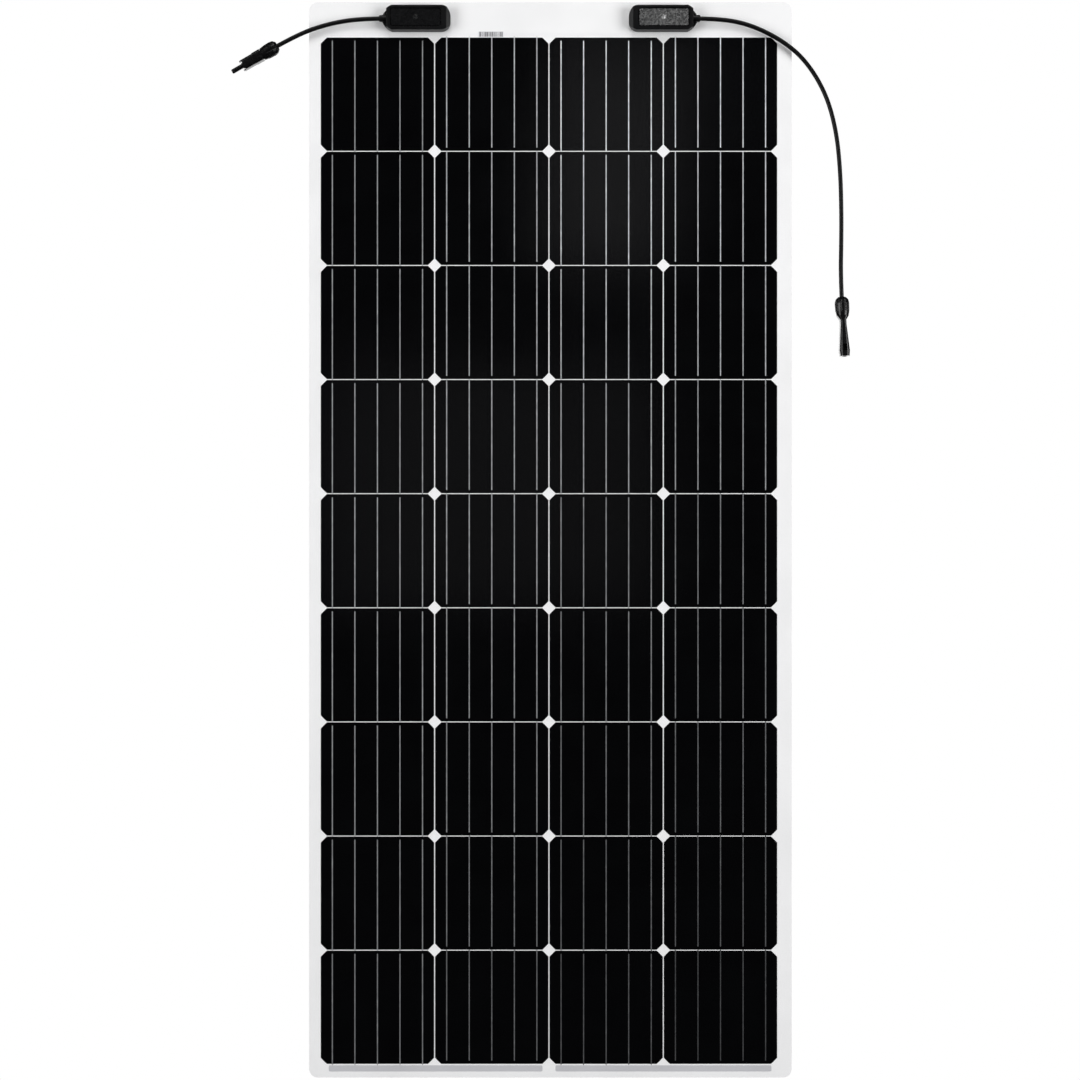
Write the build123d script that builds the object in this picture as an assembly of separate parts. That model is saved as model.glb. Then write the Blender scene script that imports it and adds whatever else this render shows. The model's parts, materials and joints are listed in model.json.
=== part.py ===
from build123d import *
import os
from math import cos, pi, radians, sin, tan

# A flexible solar sheet, lying face up. The origin is the middle of its rear face, +X runs across
# it, +Y along it towards the junction boxes, and +Z out of the sunny face. Millimetres.

# ---- the sheet ----
SHEET_WIDTH = 668.0
SHEET_LENGTH = 1488.0
SHEET_CORNER_R = 12.0
STRIP_SLOT = 0.5  # the clearance where two strips of the sheet meet
ROWS_IN_STRIP = [1, 2, 2, 2, 2]  # from the end with the boxes

# ---- the layers, from the rear face up ----
REAR_SHEET_T = 1.2
REAR_ENCAPSULANT_T = 0.6
FRONT_ENCAPSULANT_T = 0.4
FRONT_FILM_T = 0.3
REAR_Z = REAR_SHEET_T
CELL_TOP_Z = REAR_Z + REAR_ENCAPSULANT_T
FILM_Z = CELL_TOP_Z + FRONT_ENCAPSULANT_T
SHEET_T = FILM_Z + FRONT_FILM_T

# ---- the cells: squares cut from round wafers ----
CELL = 156.75
WAFER_D = 210.0
CELL_T = 0.2
COLUMN_GAP = 1.5
ROW_GAP = 1.2
COLUMNS = 4
ROWS = 9
TOP_MARGIN = 48.65
FIELD_SHIFT_X = -2.0  # the cells sit a little to the left of the sheet's middle

# ---- ribbons ----
RIBBON_W = 1.4
RIBBON_T = 0.15
RIBBONS_PER_CELL = 5
RIBBON_PITCH = 31.2
RIBBON_START = 4.5  # the bare stretch of cell before a ribbon begins
RIBBON_TAIL_END = 6.0  # how far a ribbon under a cell stops short of its far edge
BUS_T = 0.2
TOP_BUS = (2.0, 7.0)  # how far the bus ribbons begin and end from the cells
BOTTOM_BUS = (2.0, 10.5)
LEAD_W = 6.0

LABEL_SIZE = (35.0, 13.0, 0.1)
LABEL_CENTRE_X = -82.5

# ---- junction boxes: u runs from the blind end to the cable end, v across ----
BOX_Y = 719.6
LEFT_BOX_X = -185.8
RIGHT_BOX_X = 156.2
PAD_T = 0.6
BOX_BOTTOM_Z = SHEET_T + PAD_T
BOX_TOP_Z = 16.0
BOX_BLIND_U = -47.7
BOX_SHOULDER_U = 33.2
BOX_NOSE_U = 46.2
BOX_HALF_W = 17.0
BOX_BLIND_CORNER_R = 12.5
NOZZLE_TIP_U = 48.7
NOZZLE_R = 4.7
NOZZLE_BORE_R = 3.95
CABLE_Z = 8.5
BOX_FLOOR_T = 2.0
CAVITY = (66.4, 21.5)
SEAT = (70.8, 26.1)
SEAT_Z = 13.3
GASKET_T = 0.8
LID = (69.8, 25.1)
LID_CHAMFER = 1.2
LID_MARK_R = 3.6
POTTING_TOP_Z = 11.9
LEAD_U = 16.15
TERMINAL_U = (13.0, 27.0)
TERMINAL_HALF_V = 8.0
TERMINAL_T = 1.0
DIODE_V = -5.0
DIODE_Z = 7.9

# ---- cables and connectors: a connector's own x runs from its cable end to its tip ----
CABLE_R = 3.0
CABLE_START_U = CAVITY[0] / 2
CONNECTOR_Z = 9.9
NUT_R = 9.9
NECK = (8.2, 27.0)
NECK_R = 6.5
NECK_BORE_R = 5.0
SNUG = 0.05  # the room round a cable where it is held
CABLE_END_X = 14.0
PROBE_R = 3.2
PROBE_ROOT_R = 3.4  # the seat of the ring seal
PROBE_HOUSING_END = 54.0
PROBE_WALL_START = 56.0
PROBE_TIP = 72.5
PROBE_CONTACT_R = 2.0
RING_SEAL_L = 1.8
FINGER_X = (38.0, 57.2)
FINGER_Y = (5.7, 7.3)
FINGER_HALF_Z = 2.4
FINGER_TRAVEL_ROOM = 1.8
SHELL_END = 81.5
SHELL_BORE_R = 3.5
SHELL_BORE_START = 59.0
SHELL_CONTACT_R = 1.9
SHELL_PIN_R = 1.4
SHELL_PIN_TIP = 73.5
LEFT_CONNECTOR = (-376.2, 681.5, 209.9)  # where its cable enters, and its heading in degrees
RIGHT_CONNECTOR = (401.6, 334.8, 272.8)
APPROACH = 30.0  # the straight cable behind each connector

# Each route starts inside its box and ends inside its connector. The last two points follow from
# the connector's place and heading.
LEFT_ROUTE = [
    (-219.0, 719.6, 8.5),
    (-262.0, 719.6, 8.5),
    (-307.0, 712.3, 8.3),
]
RIGHT_ROUTE = [
    (189.4, 719.6, 8.5),
    (228.0, 719.6, 8.5),
    (272.0, 712.8, 8.2),
    (318.5, 690.5, 8.4),
    (352.5, 662.0, 7.8),
    (381.0, 618.0, 3.2),
    (395.5, 566.0, 3.0),
    (401.0, 510.0, 3.0),
    (402.5, 455.0, 3.0),
    (402.0, 410.0, 4.6),
]

os.makedirs("parts", exist_ok=True)

FIELD_LEFT_X = -(COLUMNS * CELL + (COLUMNS - 1) * COLUMN_GAP) / 2 + FIELD_SHIFT_X
FIELD_TOP_Y = SHEET_LENGTH / 2 - TOP_MARGIN


def block(x, y, z):
    """A box between two values along each axis."""
    size = [high - low for low, high in (x, y, z)]
    centre = [(high + low) / 2 for low, high in (x, y, z)]
    return Pos(*centre) * Box(*size)


def cell_centre(column, row):
    x = FIELD_LEFT_X + CELL / 2 + column * (CELL + COLUMN_GAP)
    y = FIELD_TOP_Y - CELL / 2 - row * (CELL + ROW_GAP)
    return x, y


def ribbon_xs(column):
    middle = cell_centre(column, 0)[0]
    first = middle - (RIBBONS_PER_CELL - 1) / 2 * RIBBON_PITCH
    return [first + i * RIBBON_PITCH for i in range(RIBBONS_PER_CELL)]


def gather(solids):
    """Separate solids of one kind, kept in one node."""
    return Compound(children=[s for part in solids for s in part.solids()])


def write(name, part):
    part.label = name
    export_step(part, f"parts/{name}.step")


# ---------------------------------------------------------------- the sheet's layers


def strip_rows(strip):
    first = sum(ROWS_IN_STRIP[:strip])
    return list(range(first, first + ROWS_IN_STRIP[strip]))


def bend_line_y(strip):
    """The line between this strip and the next, in the middle of a gap between rows."""
    last = strip_rows(strip)[-1]
    return cell_centre(0, last)[1] - CELL / 2 - ROW_GAP / 2


def strip_band(strip):
    top = SHEET_LENGTH / 2
    if strip > 0:
        top = bend_line_y(strip - 1) - STRIP_SLOT / 2
    bottom = -SHEET_LENGTH / 2
    if strip < len(ROWS_IN_STRIP) - 1:
        bottom = bend_line_y(strip) + STRIP_SLOT / 2
    return bottom, top


def layer(strip, z):
    outline = RectangleRounded(SHEET_WIDTH, SHEET_LENGTH, SHEET_CORNER_R)
    whole = Pos(0, 0, z[0]) * extrude(outline, z[1] - z[0])
    half = SHEET_WIDTH / 2 + 1
    return whole & block((-half, half), strip_band(strip), (z[0] - 1, z[1] + 1))


def cells(strip):
    wafer = Rectangle(CELL, CELL) & Circle(WAFER_D / 2)
    made = []
    for row in strip_rows(strip):
        for column in range(COLUMNS):
            x, y = cell_centre(column, row)
            made.append(Pos(x, y, CELL_TOP_Z - CELL_T) * extrude(wafer, CELL_T))
    return made


def ribbon(x, start_y, way, points):
    """A ribbon whose side is points of (distance from start_y towards way, height)."""
    side = [(x - RIBBON_W / 2, start_y + way * along, z) for along, z in points]
    face = make_face(Polyline(*side, close=True))
    return extrude(face, RIBBON_W, dir=(1, 0, 0))


def upper_side(start, end):
    top = CELL_TOP_Z + RIBBON_T
    return [(start, CELL_TOP_Z), (end, CELL_TOP_Z), (end, top), (start, top)]


def lower_side(start, end):
    top = CELL_TOP_Z - CELL_T
    low = top - RIBBON_T
    return [(start, low), (end, low), (end, top), (start, top)]


def stepped_side(start, end):
    """From on top of one cell down through the gap, and on under the next cell."""
    top, under = CELL_TOP_Z, CELL_TOP_Z - CELL_T
    return [
        (start, top),
        (0.2 * ROW_GAP, top),
        (0.7 * ROW_GAP, under - RIBBON_T),
        (end, under - RIBBON_T),
        (end, under),
        (0.8 * ROW_GAP, under),
        (0.3 * ROW_GAP, top + RIBBON_T),
        (start, top + RIBBON_T),
    ]


def ribbons(strip):
    """Columns one and three run down the sheet, and two and four back up."""
    made = []
    rows = strip_rows(strip)
    slot_edge = (ROW_GAP - STRIP_SLOT) / 2
    for column in range(COLUMNS):
        way = -1 if column % 2 == 0 else 1
        last_row = ROWS - 1 if way < 0 else 0
        first_row = 0 if way < 0 else ROWS - 1
        reach_out = BOTTOM_BUS[1] if way < 0 else TOP_BUS[1]
        reach_in = TOP_BUS[1] if way < 0 else BOTTOM_BUS[1]
        for row in rows:
            out_y = cell_centre(column, row)[1] + way * CELL / 2
            start = RIBBON_START - CELL
            tail = ROW_GAP + CELL - RIBBON_TAIL_END
            for x in ribbon_xs(column):
                if row - way in rows:
                    made.append(ribbon(x, out_y, way, stepped_side(start, tail)))
                else:
                    end = reach_out if row == last_row else slot_edge
                    made.append(ribbon(x, out_y, way, upper_side(start, end)))
                if row + way not in rows:
                    begin = reach_in if row == first_row else slot_edge
                    side = lower_side(-CELL - begin, -RIBBON_TAIL_END)
                    made.append(ribbon(x, out_y, way, side))
    return made


def bus(left_x, right_x, band):
    z = (CELL_TOP_Z - CELL_T, CELL_TOP_Z - CELL_T + BUS_T)
    return block((left_x, right_x), band, z)


def lead(x):
    """From a top bus ribbon along the sheet, up into a box and over a terminal plate."""
    z = CELL_TOP_Z - CELL_T
    plate_top = BOX_BOTTOM_Z + BOX_FLOOR_T + TERMINAL_T
    wide = (x - LEAD_W / 2, x + LEAD_W / 2)
    along = block(wide, (FIELD_TOP_Y + TOP_BUS[1] - 1, BOX_Y + BUS_T), (z, z + BUS_T))
    up = block(wide, (BOX_Y, BOX_Y + BUS_T), (z, plate_top + BUS_T))
    over = block(wide, (BOX_Y, BOX_Y + 4), (plate_top, plate_top + BUS_T))
    return along + up + over


def lead_slots(z):
    """The slots that the four leads pass through, in any layer."""
    slots = []
    for box_x in (LEFT_BOX_X, RIGHT_BOX_X):
        for side in (-1, 1):
            x = box_x + side * LEAD_U
            wide = (x - LEAD_W / 2 - 0.3, x + LEAD_W / 2 + 0.3)
            slots.append(block(wide, (BOX_Y - 0.4, BOX_Y + 0.6), z))
    return slots


def top_buses():
    band = (FIELD_TOP_Y + TOP_BUS[0], FIELD_TOP_Y + TOP_BUS[1])
    edge = 1.5
    first = bus(ribbon_xs(0)[0] - 3, ribbon_xs(0)[-1] + edge, band)
    first += lead(LEFT_BOX_X - LEAD_U)
    lead_left = LEFT_BOX_X + LEAD_U
    middle = bus(lead_left - LEAD_W / 2, ribbon_xs(2)[-1] + 3, band)
    middle += lead(lead_left) + lead(RIGHT_BOX_X - LEAD_U)
    last = bus(RIGHT_BOX_X + LEAD_U - LEAD_W / 2, ribbon_xs(3)[-1] + 3, band)
    last += lead(RIGHT_BOX_X + LEAD_U)
    return [first, middle, last]


def bottom_buses():
    cells_end = cell_centre(0, ROWS - 1)[1] - CELL / 2
    band = (cells_end - BOTTOM_BUS[1], cells_end - BOTTOM_BUS[0])
    return [
        bus(ribbon_xs(pair)[0] - 5, ribbon_xs(pair + 1)[-1] + 8, band)
        for pair in (0, 2)
    ]


def serial_label():
    width, height, thick = LABEL_SIZE
    centre_y = FIELD_TOP_Y + 8.5 - height / 2
    return Pos(LABEL_CENTRE_X, centre_y, REAR_Z + thick / 2) * Box(width, height, thick)


def build_sheet():
    label = serial_label()
    top, bottom = top_buses(), bottom_buses()
    write("serial_label", label)
    write("top_bus_ribbons", gather(top))
    write("bottom_bus_ribbons", gather(bottom))
    for strip in range(len(ROWS_IN_STRIP)):
        first, last = strip == 0, strip == len(ROWS_IN_STRIP) - 1
        strip_cells, strip_ribbons = cells(strip), ribbons(strip)
        inner = strip_cells + strip_ribbons
        inner += top + [label] if first else []
        inner += bottom if last else []
        film = layer(strip, (FILM_Z, SHEET_T))
        front = layer(strip, (CELL_TOP_Z, FILM_Z)) - inner
        if first:
            film -= lead_slots((FILM_Z - 1, SHEET_T + 1))
            front -= lead_slots((CELL_TOP_Z, FILM_Z + 1))
        number = strip + 1
        write(f"front_film_{number}", film)
        write(f"front_encapsulant_{number}", front)
        write(f"cells_{number}", gather(strip_cells))
        write(f"ribbons_{number}", gather(strip_ribbons))
        rear = layer(strip, (REAR_Z, CELL_TOP_Z)) - inner
        write(f"rear_encapsulant_{number}", rear)
        write(f"rear_sheet_{number}", layer(strip, (0, REAR_Z)))


# ---------------------------------------------------------------- junction boxes


def box_outline(inset=0.0):
    """The plan of a box: round at its blind end, drawn in to a nose at its cable end."""
    half, blind = BOX_HALF_W - inset, BOX_BLIND_U + inset
    shoulder, nose = BOX_SHOULDER_U - inset / 2, BOX_NOSE_U - inset
    nose_half = NOZZLE_R
    bulge = ((shoulder + nose) / 2 + 1.3, (half + nose_half) / 2 + 0.9)
    edges = [
        Line((blind, -half), (shoulder, -half)),
        ThreePointArc((shoulder, -half), (bulge[0], -bulge[1]), (nose, -nose_half)),
        Line((nose, -nose_half), (nose, nose_half)),
        ThreePointArc((nose, nose_half), bulge, (shoulder, half)),
        Line((shoulder, half), (blind, half)),
        Line((blind, half), (blind, -half)),
    ]
    face = make_face(edges)
    return fillet(face.vertices().sort_by(Axis.X)[:2], BOX_BLIND_CORNER_R - inset)


def rounded_block(size, corner, z):
    return Pos(0, 0, z[0]) * extrude(RectangleRounded(*size, corner), z[1] - z[0])


def along_u(radius, u, v, z):
    """A cylinder along u."""
    return Pos((u[0] + u[1]) / 2, v, z) * Rot(0, 90, 0) * Cylinder(radius, u[1] - u[0])


def box_base():
    height = BOX_TOP_Z - BOX_BOTTOM_Z
    step_u, step_z = 40.5, BOX_BOTTOM_Z + 4.2
    body = Pos(0, 0, BOX_BOTTOM_Z) * extrude(box_outline(), height)
    slope = make_face(
        Polyline(
            (BOX_BLIND_U - 1, -30, BOX_BOTTOM_Z + 2.5),
            (BOX_BLIND_U, -30, BOX_BOTTOM_Z + 2.5),
            (BOX_BLIND_U + 5.4, -30, BOX_TOP_Z + 0.1),
            (BOX_BLIND_U - 1, -30, BOX_TOP_Z + 0.1),
            close=True,
        )
    )
    body -= extrude(slope, 60, dir=(0, 1, 0))
    body -= block((step_u, 60), (-30, 30), (step_z, BOX_TOP_Z + 1))
    rim = [e for e in body.edges() if e.center().Z > BOX_TOP_Z - 0.01]
    body = fillet(rim, 1.2)
    body += along_u(NOZZLE_R, (38, NOZZLE_TIP_U), 0, CABLE_Z)
    floor_z = BOX_BOTTOM_Z + BOX_FLOOR_T
    body -= rounded_block(CAVITY, 3.0, (floor_z, BOX_TOP_Z))
    body -= rounded_block(SEAT, 3.5, (SEAT_Z, BOX_TOP_Z + 1))
    body -= along_u(NOZZLE_BORE_R, (30, NOZZLE_TIP_U + 1), 0, CABLE_Z)
    return body


def box_lid():
    under_z = SEAT_Z + GASKET_T
    plate = rounded_block(LID, 3.0, (under_z, BOX_TOP_Z))
    plate = chamfer(plate.faces().sort_by(Axis.Z)[-1].edges(), LID_CHAMFER)
    plate -= Pos(0, 0, BOX_TOP_Z) * Cylinder(LID_MARK_R, 0.6)
    skirt = rounded_block((65.8, 20.9), 2.7, (POTTING_TOP_Z + 0.3, under_z))
    skirt -= rounded_block((62.6, 17.7), 1.5, (POTTING_TOP_Z, under_z))
    return plate + skirt


def lid_gasket():
    z = (SEAT_Z, SEAT_Z + GASKET_T)
    return rounded_block((70.2, 25.5), 3.2, z) - rounded_block((67.0, 22.1), 3.0, z)


def adhesive_pad():
    return Pos(0, 0, SHEET_T) * extrude(box_outline(1.5), PAD_T)


def terminal_plate(side):
    floor_z = BOX_BOTTOM_Z + BOX_FLOOR_T
    top_z = floor_z + TERMINAL_T
    v = (-TERMINAL_HALF_V, TERMINAL_HALF_V)
    plate = block(TERMINAL_U, v, (floor_z, top_z))
    window_u = (TERMINAL_U[0] - 1, LEAD_U + LEAD_W / 2 + 0.4)
    plate -= block(window_u, (-0.5, 0.4), (floor_z - 1, top_z + 1))
    post_u = (TERMINAL_U[0], TERMINAL_U[0] + 2)
    plate += block(post_u, (DIODE_V - 1, DIODE_V + 1), (floor_z, DIODE_Z + 0.5))
    if side > 0:
        plate += block((24, TERMINAL_U[1]), (-2.2, 2.2), (floor_z, CABLE_Z))
        plate += along_u(2.2, (24, CABLE_START_U), 0, CABLE_Z)
        return plate
    return mirror(plate, about=Plane.YZ)


def bypass_diode():
    body = along_u(2.6, (-5, 5), DIODE_V, DIODE_Z)
    body = chamfer(body.edges(), 0.3)
    return body + along_u(0.5, (-TERMINAL_U[0], TERMINAL_U[0]), DIODE_V, DIODE_Z)


def box_potting():
    """The block cast around the terminals and the diode, which sit in it with a little room."""
    room = 0.1
    floor_z = BOX_BOTTOM_Z + BOX_FLOOR_T
    low = floor_z - 1
    plate_u = (TERMINAL_U[0] - room, TERMINAL_U[1] + room)
    half = TERMINAL_HALF_V + room
    post_u = (plate_u[0], TERMINAL_U[0] + 2 + room)
    post_v = (DIODE_V - 1 - room, DIODE_V + 1 + room)
    end_pockets = [
        block(plate_u, (-half, half), (low, floor_z + TERMINAL_T + BUS_T + room)),
        block(post_u, post_v, (low, DIODE_Z + 0.5 + room)),
    ]
    barrel = block((24 - room, CAVITY[0]), (-2.3, 2.3), (low, CABLE_Z + 2.2 + room))
    diode = block((-5.1, 5.1), (DIODE_V - 2.7, DIODE_V + 2.7), (low, DIODE_Z + 2.7))
    wire_v = (DIODE_V - 0.6, DIODE_V + 0.6)
    wire = block((-plate_u[0], plate_u[0]), wire_v, (low, DIODE_Z + 0.6))
    pot = rounded_block(CAVITY, 3.0, (floor_z, POTTING_TOP_Z))
    pot -= [barrel, diode, wire] + end_pockets
    return pot - [mirror(pocket, about=Plane.YZ) for pocket in end_pockets]


def cable_grommet():
    u = (CABLE_START_U, NOZZLE_TIP_U + 1.5)
    collar = along_u(NOZZLE_R - 0.3, (NOZZLE_TIP_U, NOZZLE_TIP_U + 1.5), 0, CABLE_Z)
    sleeve = along_u(NOZZLE_BORE_R - SNUG, u, 0, CABLE_Z) + collar
    return sleeve - along_u(CABLE_R + SNUG, (u[0] - 1, u[1] + 1), 0, CABLE_Z)


def in_place(part, side):
    """A box piece put on the sheet: the left box is the mirror image of the right one."""
    if side < 0:
        return Pos(LEFT_BOX_X, BOX_Y, 0) * mirror(part, about=Plane.YZ)
    return Pos(RIGHT_BOX_X, BOX_Y, 0) * part


def build_boxes():
    slots = lead_slots((0, BOX_BOTTOM_Z + BOX_FLOOR_T + 0.1))
    sides = (-1, 1)
    plates = [in_place(terminal_plate(end), s) for s in sides for end in sides]
    diodes = [in_place(bypass_diode(), s) for s in sides]
    potting = [in_place(box_potting(), s) for s in sides]
    for side, name in zip(sides, ("left", "right")):
        write(f"{name}_box_base", in_place(box_base(), side) - slots)
        write(f"{name}_box_lid", in_place(box_lid(), side))
    write("lid_gaskets", gather([in_place(lid_gasket(), s) for s in sides]))
    write("adhesive_pads", gather([in_place(adhesive_pad(), s) - slots for s in sides]))
    write("terminal_plates", gather(plates))
    write("bypass_diodes", gather(diodes))
    write("box_potting", gather(potting))
    write("cable_grommets", gather([in_place(cable_grommet(), s) for s in sides]))


# ---------------------------------------------------------------- connectors


def turned(points):
    """A solid of revolution about x from points of (x, radius)."""
    face = make_face(Polyline(*[(x, 0, r) for x, r in points], close=True))
    return revolve(face, Axis.X, 360)


def round_bar(radius, x):
    return turned([(x[0], 0), (x[1], 0), (x[1], radius), (x[0], radius)])


def cap_nut(length, grip_end):
    """A bulged cap nut with flutes for the fingers. It turns on the housing's neck."""
    nut = turned(
        [
            (0, 0),
            (0, 5.4),
            (1.2, 6.8),
            (3.6, NUT_R - 0.9),
            (8.5, NUT_R),
            (grip_end, NUT_R - 0.3),
            (length, NUT_R - 1.5),
            (length, 0),
        ]
    )
    flute = Pos(grip_end / 2 + 2.5, 0, NUT_R + 1.1) * Rot(0, 90, 0) * Cylinder(1.9, 16)
    nut -= [Rot(i * 36 + 18, 0, 0) * flute for i in range(10)]
    nut -= round_bar(CABLE_R + 0.6, (-1, 4))
    return nut - round_bar(NECK_R + 0.08, (3, length + 1))


def clamp_cage():
    """The cage of fingers that the nut squeezes on to the cable."""
    cage = round_bar(NECK_R - 0.2, (3.1, 8.0)) - round_bar(CABLE_R + 0.1, (2, 9))
    slit = Pos(4.6, 0, 5) * Box(4.0, 0.8, 6)
    return cage - [Rot(i * 60, 0, 0) * slit for i in range(6)]


def cable_seal():
    return round_bar(NECK_BORE_R - 0.1, (8.4, 13.6)) - round_bar(CABLE_R + SNUG, (8, 15))


def neck():
    """The tube behind a housing that its nut turns on, open for the cable's seal."""
    return round_bar(NECK_R, NECK) - round_bar(NECK_BORE_R, (NECK[0] - 1, CABLE_END_X - 0.3))


def side_block(x, y, z, edge):
    """A housing's block with rounded long edges."""
    bar = block(x, y, z)
    return fillet(bar.edges().filter_by(Axis.X), edge)


def probe_housing():
    body = neck() + side_block((24.9, 37), (-7.8, 7.8), (-7.8, 7.8), 4.2)
    body += side_block((36, PROBE_HOUSING_END), (-7.3, 7.3), (-7.2, 7.2), 4.0)
    tip = turned(
        [
            (PROBE_HOUSING_END - 2, 0),
            (PROBE_HOUSING_END - 2, PROBE_ROOT_R),
            (PROBE_WALL_START, PROBE_ROOT_R),
            (PROBE_WALL_START, PROBE_R),
            (PROBE_TIP - 1.6, PROBE_R),
            (PROBE_TIP - 0.4, PROBE_R - 0.5),
            (PROBE_TIP, PROBE_R - 1.3),
            (PROBE_TIP, 0),
        ]
    )
    body += tip
    for side in (-1, 1):
        room_y = (FINGER_Y[0] - FINGER_TRAVEL_ROOM, 9.0)
        room_x = (FINGER_X[0] - 0.2, PROBE_HOUSING_END + 1)
        half = FINGER_HALF_Z + 0.3
        room = block(room_x, room_y, (-half, half))
        body -= room if side > 0 else mirror(room, about=Plane.XZ)
    body -= round_bar(PROBE_CONTACT_R, (CABLE_END_X - 1, PROBE_TIP + 1))
    return body - round_bar(CABLE_R + SNUG, (8, CABLE_END_X))


def latch_finger():
    """A springy finger with a hook at its end, for the side of +y."""
    y_in, y_out = FINGER_Y
    root, end = FINGER_X
    side = make_face(
        Polyline(
            (root, y_in, 0),
            (end, y_in + 0.5, 0),
            (end, y_out - 0.6, 0),
            (end - 2.6, y_out + 0.7, 0),
            (end - 3.0, y_out, 0),
            (root, y_out, 0),
            close=True,
        )
    )
    return Pos(0, 0, -FINGER_HALF_Z) * extrude(side, 2 * FINGER_HALF_Z, dir=(0, 0, 1))


def probe_contact():
    pin = round_bar(PROBE_CONTACT_R, (CABLE_END_X, PROBE_TIP - 1.0))
    return pin - round_bar(1.45, (PROBE_TIP - 17, PROBE_TIP))


def ring_seal():
    start = PROBE_HOUSING_END
    ring = round_bar(PROBE_R + 0.9, (start, start + RING_SEAL_L))
    return ring - round_bar(PROBE_ROOT_R, (start - 1, start + 3))


def shell_section(x, half_y, half_z):
    """A rounded cross-section of the shell housing at one place along it."""
    corner = 0.75 * half_y
    sketch = RectangleRounded(2 * half_y, 2 * half_z, corner)
    return Plane(origin=(x, 0, 0), x_dir=(0, 1, 0), z_dir=(1, 0, 0)) * sketch


def shell_housing():
    cone = loft([shell_section(25.6, 8.2, 8.4), shell_section(31.5, 4.1, 7.6)])
    waist = loft([shell_section(31.5, 4.1, 7.6), shell_section(38, 4.1, 7.6)])
    flare = loft([shell_section(38, 4.1, 7.6), shell_section(74, 7.1, 9.0)])
    mouth = loft([shell_section(74, 7.1, 9.0), shell_section(SHELL_END, 6.3, 8.4)])
    body = neck() + [cone, waist, flare, mouth]
    body -= round_bar(SHELL_BORE_R, (SHELL_BORE_START, SHELL_END + 1))
    for side in (-1, 1):
        channel = block((63, SHELL_END + 1), (-2.7, 2.7), (4.7, 7.4))
        window = block((65, 74), (-2.7, 2.7), (7.0, 12.0))
        cut = channel + window
        body -= cut if side > 0 else mirror(cut, about=Plane.XY)
    body -= round_bar(SHELL_CONTACT_R, (CABLE_END_X - 1, SHELL_BORE_START + 1))
    return body - round_bar(CABLE_R + SNUG, (8, CABLE_END_X))


def shell_contact():
    pin = round_bar(SHELL_CONTACT_R, (CABLE_END_X, SHELL_BORE_START))
    nose = turned(
        [
            (SHELL_BORE_START - 1, 0),
            (SHELL_BORE_START - 1, SHELL_PIN_R),
            (SHELL_PIN_TIP - 1, SHELL_PIN_R),
            (SHELL_PIN_TIP, SHELL_PIN_R / 2),
            (SHELL_PIN_TIP, 0),
        ]
    )
    return pin + nose


def build_connectors():
    sets = {
        "probe": (LEFT_CONNECTOR, probe_housing(), probe_contact(), cap_nut(24.5, 17)),
        "shell": (RIGHT_CONNECTOR, shell_housing(), shell_contact(), cap_nut(25.2, 19)),
    }
    for name, ((x, y, heading), housing, contact, nut) in sets.items():
        place = Location((x, y, CONNECTOR_Z), (0, 0, heading))
        write(f"{name}_housing", place * housing)
        write(f"{name}_contact", place * contact)
        write(f"{name}_cap_nut", place * nut)
        write(f"{name}_clamp_cage", place * clamp_cage())
        write(f"{name}_cable_seal", place * cable_seal())
    x, y, heading = LEFT_CONNECTOR
    place = Location((x, y, CONNECTOR_Z), (0, 0, heading))
    write("probe_ring_seal", place * ring_seal())
    write("latch_finger_a", place * latch_finger())
    write("latch_finger_b", place * mirror(latch_finger(), about=Plane.XZ))


# ---------------------------------------------------------------- cables


def whole_route(route, connector):
    x, y, heading = connector
    way = (cos(radians(heading)), sin(radians(heading)))
    ends = [
        (x + along * way[0], y + along * way[1], CONNECTOR_Z)
        for along in (-APPROACH, CABLE_END_X)
    ]
    return [Vector(*p) for p in route + ends]


def cable(name, route, connector):
    points = whole_route(route, connector)
    runs = [b - a for a, b in zip(points, points[1:])]
    radii = []
    for before, after in zip(runs, runs[1:]):
        turn = before.get_angle(after)
        shorter = min(before.length, after.length)
        radii.append(0.45 * shorter / tan(radians(turn / 2)))
    path = FilletPolyline(*points, radius=radii)
    start = Plane(origin=path @ 0, z_dir=path % 0)
    tube = sweep(start * Circle(CABLE_R), path=path)
    section = pi * CABLE_R**2
    print(name, "length", round(path.length, 1), "radii", [round(r) for r in radii])
    print(name, "volume over section times length", tube.volume / (section * path.length))
    write(name, tube)


build_sheet()
build_boxes()
build_connectors()
cable("left_cable", LEFT_ROUTE, LEFT_CONNECTOR)
cable("right_cable", RIGHT_ROUTE, RIGHT_CONNECTOR)
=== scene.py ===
"""A flexible solar sheet with two junction boxes, and a cable and connector at each box."""

import json
import math
import random

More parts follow.
